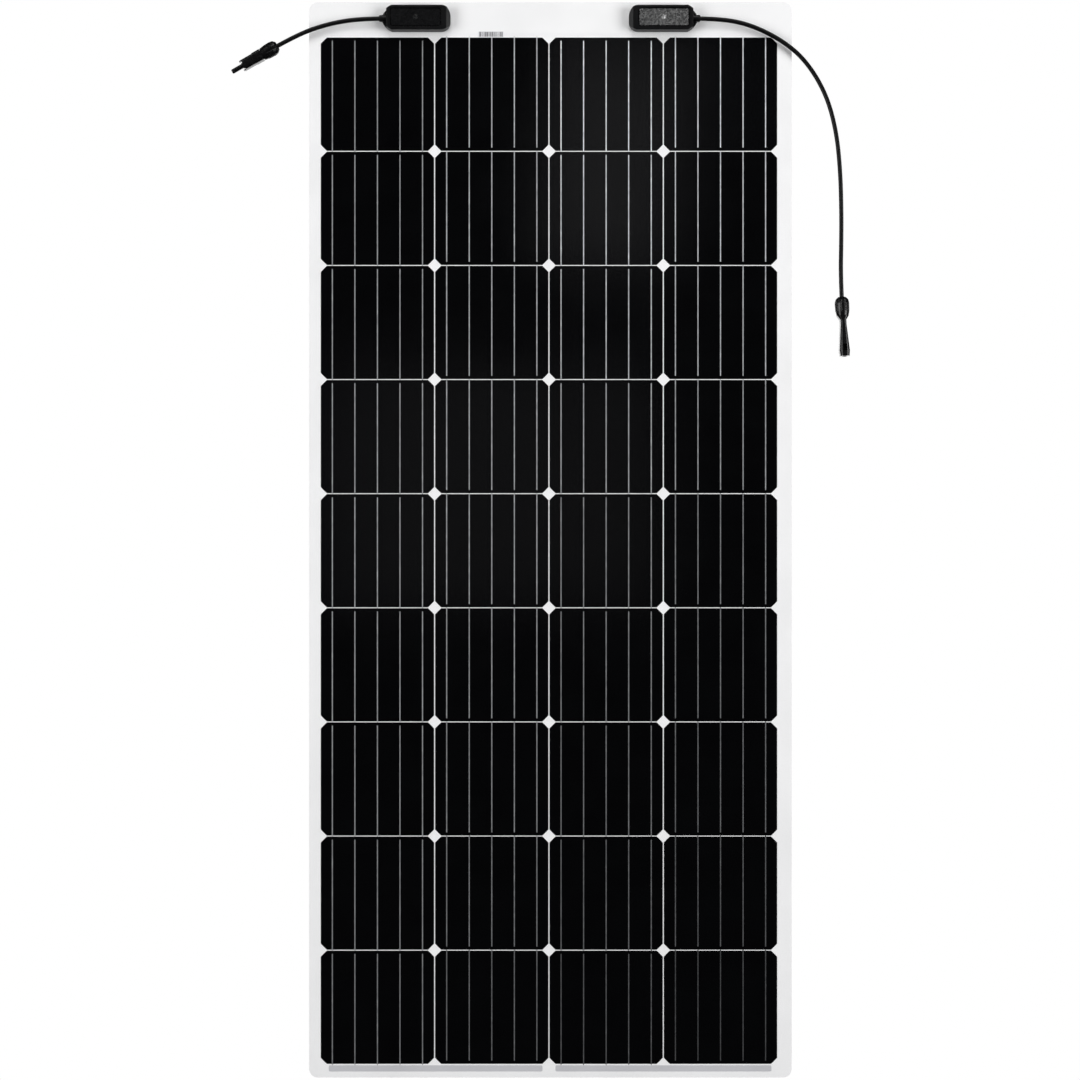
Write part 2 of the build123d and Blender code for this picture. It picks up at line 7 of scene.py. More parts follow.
import bmesh
import bpy
from mathutils import Matrix, Vector
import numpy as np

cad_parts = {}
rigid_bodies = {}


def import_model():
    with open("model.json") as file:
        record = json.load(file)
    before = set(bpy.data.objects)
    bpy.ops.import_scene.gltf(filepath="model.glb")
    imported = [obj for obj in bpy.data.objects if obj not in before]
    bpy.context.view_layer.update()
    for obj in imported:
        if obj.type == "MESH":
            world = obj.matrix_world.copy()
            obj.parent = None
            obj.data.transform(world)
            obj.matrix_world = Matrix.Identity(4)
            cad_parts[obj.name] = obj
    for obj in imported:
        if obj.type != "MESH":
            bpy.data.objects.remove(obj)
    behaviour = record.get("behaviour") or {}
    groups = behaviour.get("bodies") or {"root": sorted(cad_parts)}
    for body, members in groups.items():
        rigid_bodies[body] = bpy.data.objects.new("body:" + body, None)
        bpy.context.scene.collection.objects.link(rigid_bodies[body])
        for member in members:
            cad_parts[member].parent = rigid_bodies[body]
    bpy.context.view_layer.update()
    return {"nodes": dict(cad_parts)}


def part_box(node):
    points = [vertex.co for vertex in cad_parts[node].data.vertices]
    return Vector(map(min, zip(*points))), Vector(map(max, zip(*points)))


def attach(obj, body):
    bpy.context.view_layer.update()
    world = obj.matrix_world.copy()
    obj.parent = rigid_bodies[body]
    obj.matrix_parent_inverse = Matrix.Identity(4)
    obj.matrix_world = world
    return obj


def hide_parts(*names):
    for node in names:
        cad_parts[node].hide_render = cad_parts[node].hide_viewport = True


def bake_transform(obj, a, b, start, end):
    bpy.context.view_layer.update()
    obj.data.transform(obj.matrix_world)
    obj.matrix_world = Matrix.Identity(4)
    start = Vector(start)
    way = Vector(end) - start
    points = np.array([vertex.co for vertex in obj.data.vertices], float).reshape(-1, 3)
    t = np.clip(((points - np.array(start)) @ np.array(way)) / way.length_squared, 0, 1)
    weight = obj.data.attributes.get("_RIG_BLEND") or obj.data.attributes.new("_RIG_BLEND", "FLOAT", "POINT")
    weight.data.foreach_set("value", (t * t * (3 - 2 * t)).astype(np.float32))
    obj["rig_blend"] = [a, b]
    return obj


MM = 0.001

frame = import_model()
nodes = frame["nodes"]

# ---- the camera: straight above the sheet, with this much of its length in view ----
CAMERA_X = -14.4 * MM
CAMERA_HEIGHT = 2.3
VIEW_HEIGHT = 1.4942
SENSOR = 36.0

# ---- cables: the control points of each, in metres, from inside its box into its connector ----
CABLE_D = 6.0 * MM
CONNECTOR_Z = 9.9 * MM
APPROACH = 30.0 * MM
CABLE_END = 14.0 * MM
CABLES = {
    "left_lead": {
        "points": [
            (-0.2190, 0.7196, 0.0085),
            (-0.2620, 0.7196, 0.0085),
            (-0.3070, 0.7123, 0.0083),
        ],
        "connector": (-0.3762, 0.6815, 209.9),
        "exit": (-0.2345, 0.7196, 0.0085),
        "length": 0.178,
        "node": "left_cable",
        "end": "probe",
    },
    "right_lead": {
        "points": [
            (0.1894, 0.7196, 0.0085),
            (0.2280, 0.7196, 0.0085),
            (0.2720, 0.7128, 0.0082),
            (0.3185, 0.6905, 0.0084),
            (0.3525, 0.6620, 0.0078),
            (0.3810, 0.6180, 0.0032),
            (0.3955, 0.5660, 0.0030),
            (0.4010, 0.5100, 0.0030),
            (0.4025, 0.4550, 0.0030),
            (0.4020, 0.4100, 0.0046),
        ],
        "connector": (0.4016, 0.3348, 272.8),
        "exit": (0.2049, 0.7196, 0.0085),
        "length": 0.530,
        "node": "right_cable",
        "end": "shell",
    },
}

# ---- the sheet, from the CAD layers ----
COLUMNS = 4
ROWS = 9
CELL = 156.75 * MM
WAFER_R = 105.0 * MM
COLUMN_GAP = 1.5 * MM
ROW_GAP = 1.2 * MM
CORNER_R = 12.0 * MM
RIBBON_W = 1.4 * MM
RIBBON_T = 0.15 * MM
RIBBON_PITCH = 31.2 * MM
RIBBONS_PER_CELL = 5
RIBBON_START = 4.5 * MM
CUT_PITCH = 13.0 * MM  # how finely the sheet is divided along its length, so that it can bend
SAME_PLACE = 1e-7  # points closer than this are taken as one place

cells_low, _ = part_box("cells_5")
_, cells_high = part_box("cells_1")
sheet_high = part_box("front_film_1")[1]
sheet_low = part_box("rear_sheet_5")[0]
SHEET_TOP = sheet_high.z
CELL_BASE = cells_low.z
CELL_TOP = cells_high.z
FIELD_LEFT = cells_low.x
FIELD_TOP = cells_high.y
SHEET_HALF_W = sheet_high.x
SHEET_HALF_L = sheet_high.y

# The sheet is drawn in four stretches. Each runs from the middle of one strip to the middle of
# the next and bends between those two bodies, so that no seam crosses a cell.
ROWS_IN_STRETCH = [2, 2, 2, 3]
FIRST_BEND_START = 696.0 * MM
LAST_BEND_ROWS = 8


def cell_centre(column, row):
    x = FIELD_LEFT + CELL / 2 + column * (CELL + COLUMN_GAP)
    y = FIELD_TOP - CELL / 2 - row * (CELL + ROW_GAP)
    return x, y


def gap_y(rows):
    """The middle of the gap below this many rows of cells."""
    return FIELD_TOP - rows * (CELL + ROW_GAP) + ROW_GAP / 2


# ------------------------------------------------------------------------------ materials


def new_tree(name):
    material = bpy.data.materials.new(name)
    material.use_nodes = True
    material.node_tree.nodes.clear()
    return material, material.node_tree


def add(tree, kind, settings=None, **values):
    """A shader node. A value is a number, a colour or another node's output."""
    node = tree.nodes.new("ShaderNode" + kind)
    for key, value in (settings or {}).items():
        setattr(node, key, value)
    for key, value in values.items():
        socket = node.inputs[key.replace("_", " ")]
        if isinstance(value, bpy.types.NodeSocket):
            tree.links.new(value, socket)
        else:
            socket.default_value = value
    return node


def output(tree, shader):
    add(tree, "OutputMaterial", Surface=shader)


def place(tree):
    """Each piece's own coordinates, in metres, which stay with it as it bends."""
    return add(tree, "TexCoord").outputs["Object"]


def noise(tree, where, grain, detail=3.0, roughness=0.5):
    """Noise with blotches of about this size in metres."""
    node = add(
        tree, "TexNoise", Vector=where, Scale=1 / grain, Detail=detail, Roughness=roughness
    )
    return node.outputs["Fac"]


def spread(tree, value, low, high, out_low, out_high):
    node = add(
        tree,
        "MapRange",
        Value=value,
        From_Min=low,
        From_Max=high,
        To_Min=out_low,
        To_Max=out_high,
    )
    return node.outputs["Result"]


def shades(tree, value, dark, light, low=0.3, high=0.7):
    """Two colours mixed by a value."""
    ramp = add(tree, "ValToRGB", Fac=value)
    ramp.color_ramp.elements[0].position = low
    ramp.color_ramp.elements[0].color = (*dark, 1)
    ramp.color_ramp.elements[1].position = high
    ramp.color_ramp.elements[1].color = (*light, 1)
    return ramp.outputs["Color"]


def band_scale(pitch):
    """The scale at which a wave texture repeats its bands at this pitch in metres."""
    return 2 * math.pi / (20 * pitch)


def bump(tree, height, depth):
    return add(tree, "Bump", Height=height, Distance=depth, Strength=1.0).outputs["Normal"]


def plastic(name, dark, light, roughness, grain, depth, specular=0.5):
    """Moulded plastic or rubber: a fine grain, faint blotches and uneven gloss."""
    material, tree = new_tree(name)
    where = place(tree)
    blotch = noise(tree, where, 14 * MM, 4.0, 0.6)
    fine = noise(tree, where, grain, 4.0, 0.65)
    scuff = noise(tree, where, 3.0 * MM, 6.0, 0.7)
    gloss = spread(tree, scuff, 0.35, 0.75, roughness - 0.07, roughness + 0.1)
    shader = add(
        tree,
        "BsdfPrincipled",
        Base_Color=shades(tree, blotch, dark, light),
        Roughness=gloss,
        Normal=bump(tree, fine, depth),
        Specular_IOR_Level=specular,
    )
    output(tree, shader.outputs["BSDF"])
    return material


def metal(name, dark, light, roughness, grain, depth, metallic=1.0, toned=False):
    """Metal. With painted light, each face's colour is scaled by its own value, a painted highlight or
    shade.
    """
    material, tree = new_tree(name)
    where = place(tree)
    blotch = noise(tree, where, 9 * MM, 5.0, 0.6)
    colour = shades(tree, blotch, dark, light)
    # painted highlight and shade: the colour is scaled by each face's painted value
    if toned:
        tone = add(tree, "Attribute", {"attribute_name": "tone"}).outputs["Fac"]
        scaled = add(tree, "VectorMath", {"operation": "SCALE"}, Scale=tone)
        tree.links.new(colour, scaled.inputs[0])
        colour = scaled.outputs["Vector"]
    fine = noise(tree, where, grain, 5.0, 0.6)
    shader = add(
        tree,
        "BsdfPrincipled",
        Base_Color=colour,
        Metallic=metallic,
        Roughness=spread(tree, blotch, 0.3, 0.7, roughness - 0.06, roughness + 0.08),
        Normal=bump(tree, fine, depth),
    )
    output(tree, shader.outputs["BSDF"])
    return material


def white_sheet(name, dark, light):
    """The white rear sheet: matt, faintly mottled, with the weave of its glass fibre."""
    weave_pitch = 1.6 * MM
    material, tree = new_tree(name)
    where = place(tree)
    cloud = noise(tree, where, 90 * MM, 4.0, 0.55)
    fleck = noise(tree, where, 2.4 * MM, 5.0, 0.7)
    mixed = add(tree, "Math", {"operation": "MULTIPLY_ADD"})
    tree.links.new(fleck, mixed.inputs[0])
    mixed.inputs[1].default_value = 0.45
    tree.links.new(spread(tree, cloud, 0.3, 0.7, 0.1, 0.6), mixed.inputs[2])
    weave = [
        add(
            tree,
            "TexWave",
            {"wave_type": "BANDS", "bands_direction": axis},
            Vector=where,
            Scale=band_scale(weave_pitch),
            Distortion=1.2,
            Detail=1.0,
            Detail_Scale=0.5,
        ).outputs["Fac"]
        for axis in ("X", "Y")
    ]
    cloth = add(tree, "Math", {"operation": "MAXIMUM"})
    tree.links.new(weave[0], cloth.inputs[0])
    tree.links.new(weave[1], cloth.inputs[1])
    shader = add(
        tree,
        "BsdfPrincipled",
        Base_Color=shades(tree, mixed.outputs["Value"], dark, light, 0.15, 0.85),
        Roughness=0.55,
        Normal=bump(tree, cloth.outputs["Value"], 0.012 * MM),
        Specular_IOR_Level=0.25,
    )
    output(tree, shader.outputs["BSDF"])
    return material


def silicon():
    """A monocrystalline cell: near black, with hair-fine printed fingers, faint blotches and a painted
    reflection in fine specks, brightened towards a pale haze by each face's own value.
    """
    finger_pitch = 1.5 * MM
    finger_strength = 0.05
    material, tree = new_tree("silicon")
    where = place(tree)
    tone = add(tree, "Attribute", {"attribute_name": "tone"}).outputs["Fac"]
    speck = noise(tree, where, 1.9 * MM, 2.0, 0.7)
    patch = noise(tree, where, 60 * MM, 3.0, 0.5)
    finger = add(
        tree,
        "TexWave",
        {"wave_type": "BANDS", "bands_direction": "Y"},
        Vector=where,
        Scale=band_scale(finger_pitch),
    ).outputs["Fac"]
    lines = spread(tree, finger, 0.93, 1.0, 0.0, 1.0)
    # Painted reflection: the grainy specks where the cell is brightened towards a pale haze, scaled by each
    # face's own painted value.
    painted_glint_specks = spread(tree, speck, 0.42, 0.72, 0.0, 1.0)
    painted_reflection = add(tree, "Math", {"operation": "MULTIPLY"})
    tree.links.new(painted_glint_specks, painted_reflection.inputs[0])
    tree.links.new(tone, painted_reflection.inputs[1])
    base = shades(tree, patch, (0.0006, 0.0006, 0.0008), (0.0011, 0.0012, 0.0014))
    # The painted reflection itself: the dark base mixed towards a pale, faintly blue haze colour.
    haze = add(tree, "Mix", {"data_type": "RGBA"})
    tree.links.new(painted_reflection.outputs["Value"], haze.inputs["Factor"])
    tree.links.new(base, haze.inputs[6])
    haze.inputs[7].default_value = (0.0075, 0.0078, 0.009, 1)
    printed = add(tree, "Mix", {"data_type": "RGBA"})
    thin = add(tree, "Math", {"operation": "MULTIPLY"})
    tree.links.new(lines, thin.inputs[0])
    thin.inputs[1].default_value = finger_strength
    tree.links.new(thin.outputs["Value"], printed.inputs["Factor"])
    tree.links.new(haze.outputs[2], printed.inputs[6])
    printed.inputs[7].default_value = (0.05, 0.05, 0.055, 1)
    shader = add(
        tree,
        "BsdfPrincipled",
        Base_Color=printed.outputs[2],
        Roughness=0.6,
        Normal=bump(tree, speck, 0.05 * MM),
        Specular_IOR_Level=0.0,
    )
    output(tree, shader.outputs["BSDF"])
    return material


def clear_film(name, depth):
    """The textured clear film: it lets everything below show and adds a broken-up gloss.

    Only its outer side reflects, so light that leaves the sheet isn't held back by the film.
    """
    material, tree = new_tree(name)
    where = place(tree)
    grain = noise(tree, where, 2.2 * MM, 2.0, 0.6)
    cloud = noise(tree, where, 120 * MM, 3.0, 0.5)
    normal = bump(tree, grain, depth)
    gloss = add(
        tree,
        "BsdfGlossy",
        Color=(1, 1, 1, 1),
        Roughness=spread(tree, cloud, 0.3, 0.7, 0.10, 0.16),
        Normal=normal,
    )
    clear = add(tree, "BsdfTransparent", Color=(1, 1, 1, 1))
    edge = add(tree, "Fresnel", IOR=1.38, Normal=normal)
    inside = add(tree, "NewGeometry").outputs["Backfacing"]
    mirrored = add(tree, "Math", {"operation": "MULTIPLY"})
    tree.links.new(edge.outputs["Fac"], mirrored.inputs[0])
    tree.links.new(spread(tree, inside, 0.0, 1.0, 1.0, 0.0), mirrored.inputs[1])
    both = add(tree, "MixShader")
    tree.links.new(mirrored.outputs["Value"], both.inputs[0])
    tree.links.new(clear.outputs["BSDF"], both.inputs[1])
    tree.links.new(gloss.outputs["BSDF"], both.inputs[2])
    output(tree, both.outputs["Shader"])
    return material


def fully_clear():
    """The film's underside and edges, which only let through what lies behind them."""
    material, tree = new_tree("bonded_face")
    output(tree, add(tree, "BsdfTransparent", Color=(1, 1, 1, 1)).outputs["BSDF"])
    return material


materials = {
    "white": white_sheet("white_sheet", (0.79, 0.79, 0.795), (0.86, 0.86, 0.865)),
    "hidden_bus": white_sheet("covered_ribbon", (0.77, 0.77, 0.78), (0.84, 0.84, 0.85)),
    "covered_bus": white_sheet("veiled_ribbon", (0.46, 0.46, 0.485), (0.535, 0.535, 0.56)),
    "label": white_sheet("label_film", (0.66, 0.66, 0.68), (0.74, 0.74, 0.76)),
    "silicon": silicon(),
    "film": clear_film("clear_film", 0.06 * MM),
    "bonded": fully_clear(),
}
METALS = {
    "tinned": ((0.52, 0.53, 0.55), (0.78, 0.79, 0.81), 0.42, 0.8 * MM, 0.02 * MM, 0.55),
    # the ribbons' colour carries painted highlight and shade, face by face
    "ribbon": ((0.40, 0.41, 0.43), (0.56, 0.57, 0.59), 0.42, 0.8 * MM, 0.02 * MM, 0.55, True),
    "copper": ((0.55, 0.27, 0.14), (0.80, 0.43, 0.27), 0.35, 0.6 * MM, 0.01 * MM),
}
PLASTICS = {
    "housing": ((0.0022, 0.0022, 0.0025), (0.0042, 0.0042, 0.0047), 0.34, 0.5 * MM, 0.012 * MM, 0.2),
    "lid": ((0.0026, 0.0026, 0.003), (0.0048, 0.0048, 0.0054), 0.28, 2.6 * MM, 0.035 * MM, 0.2),
    "mark": ((0.0026, 0.0026, 0.003), (0.005, 0.005, 0.0056), 0.30, 0.9 * MM, 0.02 * MM, 1.0),
    "connector": ((0.0012, 0.0012, 0.0014), (0.0026, 0.0026, 0.003), 0.30, 0.4 * MM, 0.01 * MM, 0.3),
    "jacket": ((0.001, 0.001, 0.0012), (0.002, 0.002, 0.0023), 0.40, 0.7 * MM, 0.02 * MM, 0.2),
    "rubber": ((0.006, 0.006, 0.006), (0.011, 0.011, 0.011), 0.7, 0.6 * MM, 0.02 * MM, 0.15),
    "adhesive": ((0.030, 0.030, 0.031), (0.055, 0.055, 0.056), 0.8, 1.2 * MM, 0.05 * MM, 0.2),
    "diode": ((0.012, 0.012, 0.013), (0.022, 0.022, 0.024), 0.5, 0.4 * MM, 0.01 * MM),
    "potting": ((0.018, 0.018, 0.020), (0.032, 0.032, 0.034), 0.4, 4.0 * MM, 0.05 * MM, 0.3),
    "label_ink": ((0.07, 0.07, 0.075), (0.13, 0.13, 0.135), 0.6, 0.5 * MM, 0.005 * MM),
}
for look, values in METALS.items():
    materials[look] = metal(look, *values)
for look, values in PLASTICS.items():
    materials[look] = plastic(look, *values)

CAD_LOOKS = {
    "potting": ["box_potting"],
    "diode": ["bypass_diodes"],
    "rubber": ["cable_grommets", "lid_gaskets", "probe_cable_seal", "probe_ring_seal", "shell_cable_seal"],
    "adhesive": ["adhesive_pads"],
    "tinned": ["terminal_plates"],
    "copper": ["probe_contact", "shell_contact"],
    "housing": ["left_box_base", "right_box_base"],
    "lid": ["left_box_lid", "right_box_lid"],
    "connector": [
        "probe_housing",
        "probe_cap_nut",
        "probe_clamp_cage",
        "latch_finger_a",
        "latch_finger_b",
        "shell_housing",
        "shell_cap_nut",
        "shell_clamp_cage",
    ],
}
for look, names in CAD_LOOKS.items():
    for name in names:
        nodes[name].data.materials.clear()
        nodes[name].data.materials.append(materials[look])


# ------------------------------------------------------------------------------ mesh helpers


def shown(name, bm, looks, smooth_angle=35):
    """An object from a mesh, with faces that meet at a small angle shaded smooth."""
    bmesh.ops.recalc_face_normals(bm, faces=bm.faces)
    limit = math.radians(smooth_angle)
    for face in bm.faces:
        face.smooth = True
    for edge in bm.edges:
        edge.smooth = len(edge.link_faces) == 2 and edge.calc_face_angle() < limit
    mesh = bpy.data.meshes.new(name)
    bm.to_mesh(mesh)
    bm.free()
    for look in looks:
        mesh.materials.append(materials[look])
    piece = bpy.data.objects.new(name, mesh)
    bpy.context.scene.collection.objects.link(piece)
    return piece


def everything(bm):
    return bm.verts[:] + bm.edges[:] + bm.faces[:]


def plate(outline, z):
    """A closed plate between two heights, with this outline."""
    bm = bmesh.new()
    face = bm.faces.new([bm.verts.new((x, y, z[0])) for x, y in outline])
    raised = bmesh.ops.extrude_face_region(bm, geom=[face])["geom"]
    verts = [item for item in raised if isinstance(item, bmesh.types.BMVert)]
    bmesh.ops.translate(bm, verts=verts, vec=(0, 0, z[1] - z[0]))
    bmesh.ops.recalc_face_normals(bm, faces=bm.faces)
    return bm


def round_edges(bm, z, width, segments=3):
    """Rounds the edges at one height."""
    edges = [e for e in bm.edges if all(abs(v.co.z - z) < SAME_PLACE for v in e.verts)]
    bmesh.ops.bevel(
        bm, geom=edges, offset=width, segments=segments, affect="EDGES", profile=0.5
    )


def cut_across(bm, y):
    bmesh.ops.bisect_plane(
        bm, geom=everything(bm), dist=SAME_PLACE, plane_co=(0, y, 0), plane_no=(0, 1, 0)
    )


def keep_between(bm, low, high, end_look=0):
    """Cuts the mesh off at two values of y and closes each new end."""
    for y, way in ((low, -1), (high, 1)):
        cut = bmesh.ops.bisect_plane(
            bm,
            geom=everything(bm),
            dist=SAME_PLACE,
            plane_co=(0, y, 0),
            plane_no=(0, way, 0),
            clear_outer=True,
        )["geom_cut"]
        edges = [item for item in cut if isinstance(item, bmesh.types.BMEdge)]
        if edges:
            made = bmesh.ops.edgeloop_fill(bm, edges=edges)["faces"]
            for face in made:
                face.material_index = end_look


def rounded_rectangle(width, length, radius, steps=8):
    corners = [(1, 1, 0), (-1, 1, 90), (-1, -1, 180), (1, -1, 270)]
    outline = []
    for sx, sy, start in corners:
        for i in range(steps + 1):
            angle = math.radians(start + 90 * i / steps)
            x = sx * (width / 2 - radius) + radius * math.cos(angle)
            y = sy * (length / 2 - radius) + radius * math.sin(angle)
            outline.append((x, y))
    return outline


def pseudo_square(steps=3):
    """A cell's outline: a square whose corners lie on the round wafer it was cut from."""
    half = CELL / 2
    first = math.acos(half / WAFER_R)
    outline = []
    for quarter in range(4):
        for i in range(steps + 1):
            angle = quarter * math.pi / 2 + first + (math.pi / 2 - 2 * first) * i / steps
            outline.append((WAFER_R * math.cos(angle), WAFER_R * math.sin(angle)))
    return outline


# ------------------------------------------------------------------------------ the sheet

FILM_BASE = CELL_BASE + 0.01 * MM
FILM_TOP_FACING = 0.999  # a face that points this nearly straight up is part of the film's top
FILM_BACK_FACING = -0.9  # and one that points down this far is part of its underside
EDGE_ROUND = 0.35 * MM
SLAB_SMOOTH_ANGLE = 10  # flat faces stay flat beside the rounded edge, and bends stay smooth
LIFT = 0.02 * MM  # keeps thin marks clear of the surface that they lie on
RIBBON_EASE = 0.6  # the share of a ribbon's half width and of its height where its edges ease
RIBBON_DROP = (0.2, 0.8, 1.6)  # in gaps beyond the cell: it starts down, it is down, it ends
BUS_THICK = 0.1 * MM
TOP_BUS_BAND = (2.0 * MM, 7.0 * MM)  # the part that shows, above the cells' top edge
BUS_HALF_BREAK = 9 * MM  # from the middle to the end of each bottom bus ribbon
BAR_CORNER_SHARE = 0.2
LABEL_BASE = CELL_BASE + BUS_THICK + 2 * LIFT  # the label lies over the top bus ribbon
LABEL_GAP = 0.3 * MM
LABEL_CORNER_R = 0.6 * MM
LABEL_INK_START = 1.6 * MM
LABEL_INK_END = 2.4 * MM
LABEL_INK_BORDER = 1.6 * MM
LABEL_INK_RISE = 0.2 * MM
LABEL_BAR_WIDTHS = (0.35, 0.5, 0.8, 1.2)
LABEL_BAR_GAPS = (0.4, 0.6, 0.9)
LABEL_SEED = 7
MARK_R = 3.45 * MM
MARK_DEPTH = 0.3 * MM
MARK_RISE = 0.08 * MM
# Painted reflection on the cells: how far the specks of each listed cell (column, row) are brightened
# towards a pale haze, strongest in column three of the top rows. Every other cell takes the plain value
# below.
CELL_PAINTED_REFLECTION = {
    (2, 0): 0.7,
    (2, 1): 0.62,
    (2, 2): 0.3,
    (3, 0): 0.45,
    (3, 1): 0.16,
    (1, 3): 0.3,
    (0, 3): 0.36,
    (2, 3): 0.2,
    (0, 4): 0.3,
    (1, 4): 0.22,
}
PLAIN_PAINTED_REFLECTION = 0.12
# Painted highlight and shade on the ribbons: a colour scale for each column in the top, middle and bottom
# rows, brightest near the top right and dullest at the bottom right.
RIBBON_PAINTED_LIGHT = {
    0: (0.71, 1.15, 1.90, 1.65),
    4: (0.88, 0.92, 0.64, 0.50),
    8: (0.59, 0.38, 0.26, 0.17),
}


def stretch_span(stretch):
    """The first and last row of a stretch, and where it begins and ends."""
    before = sum(ROWS_IN_STRETCH[:stretch])
    after = before + ROWS_IN_STRETCH[stretch]
    high = SHEET_HALF_L if stretch == 0 else gap_y(before)
    low = -SHEET_HALF_L if after == ROWS else gap_y(after)
    return range(before, after), low, high


def bend(piece, stretch):
    """The piece bends with the stretch of sheet that it belongs to."""
    rows, low, high = stretch_span(stretch)
    start = FIRST_BEND_START if stretch == 0 else high
    end = gap_y(LAST_BEND_ROWS) if rows[-1] == ROWS - 1 else low
    bodies = (f"strip_{stretch + 1}", f"strip_{stretch + 2}")
    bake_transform(piece, *bodies, start=(0, start, 0), end=(0, end, 0))


def stretch_strips(stretch):
    """The CAD strips that this stretch stands for."""
    last = stretch == len(ROWS_IN_STRETCH) - 1
    return (stretch + 1, stretch + 2) if last else (stretch + 1,)


def slab(z, rounded_z):
    outline = rounded_rectangle(2 * SHEET_HALF_W, 2 * SHEET_HALF_L, CORNER_R)
    bm = plate(outline, z)
    round_edges(bm, rounded_z, EDGE_ROUND)
    count = int(2 * SHEET_HALF_L / CUT_PITCH)
    for i in range(1, count):
        cut_across(bm, -SHEET_HALF_L + 2 * SHEET_HALF_L * i / count)
    return bm


def make_layers():
    core = slab((sheet_low.z, CELL_BASE), sheet_low.z)
    film = slab((FILM_BASE, SHEET_TOP), SHEET_TOP)
    for face in film.faces:
        up = face.normal.z
        face.material_index = 1 if up < FILM_BACK_FACING else 2 if up < FILM_TOP_FACING else 0
    for stretch in range(len(ROWS_IN_STRETCH)):
        _, low, high = stretch_span(stretch)
        number = stretch + 1
        part = core.copy()
        keep_between(part, low, high)
        piece = shown(f"rear_sheet_stretch_{number}", part, ["white"], SLAB_SMOOTH_ANGLE)
        for strip in stretch_strips(stretch):
            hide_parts(f"rear_sheet_{strip}", f"rear_encapsulant_{strip}")
        bend(piece, stretch)
        part = film.copy()
        keep_between(part, low, high, end_look=1)
        looks = ["film", "bonded", "bonded"]  # its top, its underside and ends, its edges
        piece = shown(f"clear_film_stretch_{number}", part, looks, SLAB_SMOOTH_ANGLE)
        for strip in stretch_strips(stretch):
            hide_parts(f"front_film_{strip}", f"front_encapsulant_{strip}")
        bend(piece, stretch)
    core.free()
    film.free()


def make_cells():
    one = plate(pseudo_square(), (CELL_BASE, CELL_TOP))
    cuts = int(CELL / CUT_PITCH)
    for i in range(1, cuts):
        cut_across(one, -CELL / 2 + CELL * i / cuts)
    template = bpy.data.meshes.new("cell")
    one.to_mesh(template)
    one.free()
    for stretch in range(len(ROWS_IN_STRETCH)):
        rows, _, _ = stretch_span(stretch)
        bm = bmesh.new()
        # each cell's faces carry its painted reflection strength
        tone = bm.faces.layers.float.new("tone")
        for row in rows:
            for column in range(COLUMNS):
                moved = template.copy()
                moved.transform(Matrix.Translation((*cell_centre(column, row), 0)))
                before = len(bm.faces)
                bm.from_mesh(moved)
                bpy.data.meshes.remove(moved)
                bm.faces.ensure_lookup_table()
                for face in bm.faces[before:]:
                    face[tone] = CELL_PAINTED_REFLECTION.get((column, row), PLAIN_PAINTED_REFLECTION)
        piece = shown(f"cells_stretch_{stretch + 1}", bm, ["silicon"])
        for strip in stretch_strips(stretch):
            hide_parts(f"cells_{strip}")
        bend(piece, stretch)
    bpy.data.meshes.remove(template)


def ribbon_tone(column, row):
    """The painted highlight or shade on a cell's ribbons, eased between three rows of the sheet."""
    middle = ROWS // 2
    upper = 0 if row < middle else middle
    share = (row - upper) / middle
    return (1 - share) * RIBBON_PAINTED_LIGHT[upper][column] + share * RIBBON_PAINTED_LIGHT[upper + middle][column]


def draw_ribbon(bm, x, stations, tone):
    """A flat ribbon with eased top edges, through stations of (y, height of its underside)."""
    half = RIBBON_W / 2
    section = [
        (-half, 0),
        (half, 0),
        (half, RIBBON_EASE * RIBBON_T),
        (RIBBON_EASE * half, RIBBON_T),
        (-RIBBON_EASE * half, RIBBON_T),
        (-half, RIBBON_EASE * RIBBON_T),
    ]
    rings = [
        [bm.verts.new((x + dx, y, z + dz)) for dx, dz in section] for y, z in stations
    ]
    faces = [bm.faces.new(rings[0]), bm.faces.new(rings[-1])]
    for near, far in zip(rings, rings[1:]):
        for i in range(len(section)):
            j = (i + 1) % len(section)
            faces.append(bm.faces.new((near[i], near[j], far[j], far[i])))
    # each face carries its ribbon's painted highlight or shade value
    layer = bm.faces.layers.float["tone"]
    for face in faces:
        face[layer] = tone


def make_ribbons():
    """Columns one and three run down the sheet, and two and four back up."""
    steps = int(CELL / CUT_PITCH)
    drop_start, drop_end, ribbon_end = RIBBON_DROP
    sunk = CELL_BASE - RIBBON_T
    for stretch in range(len(ROWS_IN_STRETCH)):
        rows, _, _ = stretch_span(stretch)
        bm = bmesh.new()
        bm.faces.layers.float.new("tone")
        for row in rows:
            for column in range(COLUMNS):
                way = -1 if column % 2 == 0 else 1
                centre_x, centre_y = cell_centre(column, row)
                start = -CELL / 2 + RIBBON_START
                run = CELL - RIBBON_START
                along = [(start + run * i / steps, CELL_TOP) for i in range(steps + 1)]
                along.append((CELL / 2 + drop_start * ROW_GAP, CELL_TOP))
                along.append((CELL / 2 + drop_end * ROW_GAP, sunk))
                along.append((CELL / 2 + ribbon_end * ROW_GAP, sunk))
                for i in range(RIBBONS_PER_CELL):
                    x = centre_x + (i - (RIBBONS_PER_CELL - 1) / 2) * RIBBON_PITCH
                    stations = [(centre_y + way * s, z) for s, z in along]
                    draw_ribbon(bm, x, stations, ribbon_tone(column, row))
        piece = shown(f"ribbons_stretch_{stretch + 1}", bm, ["ribbon"])
        for strip in stretch_strips(stretch):
            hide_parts(f"ribbons_{strip}")
        bend(piece, stretch)


def flat_bars(bars, z):
    """Thin bars with slightly rounded corners, each from its middle and size."""
    bm = bmesh.new()
    for x, y, width, length in bars:
        corner_r = BAR_CORNER_SHARE * min(width, length)
        outline = rounded_rectangle(width, length, corner_r, 2)
        one = plate([(x + px, y + py) for px, py in outline], z)
        mesh = bpy.data.meshes.new("bar")
        one.to_mesh(mesh)
        one.free()
        bm.from_mesh(mesh)
        bpy.data.meshes.remove(mesh)
    return bm


